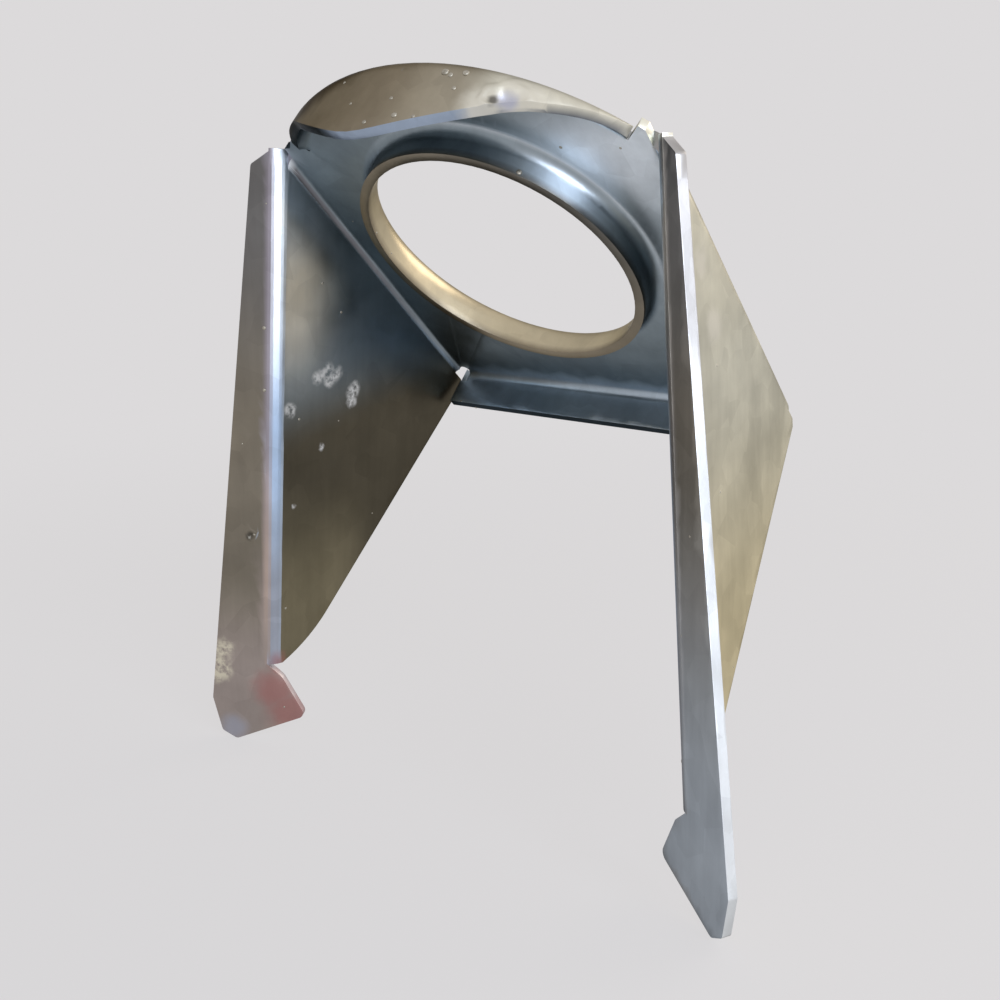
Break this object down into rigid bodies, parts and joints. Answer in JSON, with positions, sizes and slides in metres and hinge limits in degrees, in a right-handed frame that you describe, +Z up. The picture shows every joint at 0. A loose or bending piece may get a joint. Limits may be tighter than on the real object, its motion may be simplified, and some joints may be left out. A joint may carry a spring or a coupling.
{
  "type": "spring seat bracket",
  "caption": "Folded steel bracket with a tilted spring seat plate, collared hole, arched hood lip, triangular side walls and turned-out mounting flanges.",
  "frame": {"origin": "centre of the collar's rim, on the seat hole's axis", "axes": "+X towards the right flange, -Y out of the open front, +Z up along the flange lines"},
  "size_m": [0.2194, 0.1345, 0.2372],
  "materials": {
    "galvanised_steel": "hot-dip galvanised, dull satin with bright folds"
  },
  "bodies": {
    "root": {"spring_seat_bracket": "galvanised_steel"}
  },
  "joints": []
}
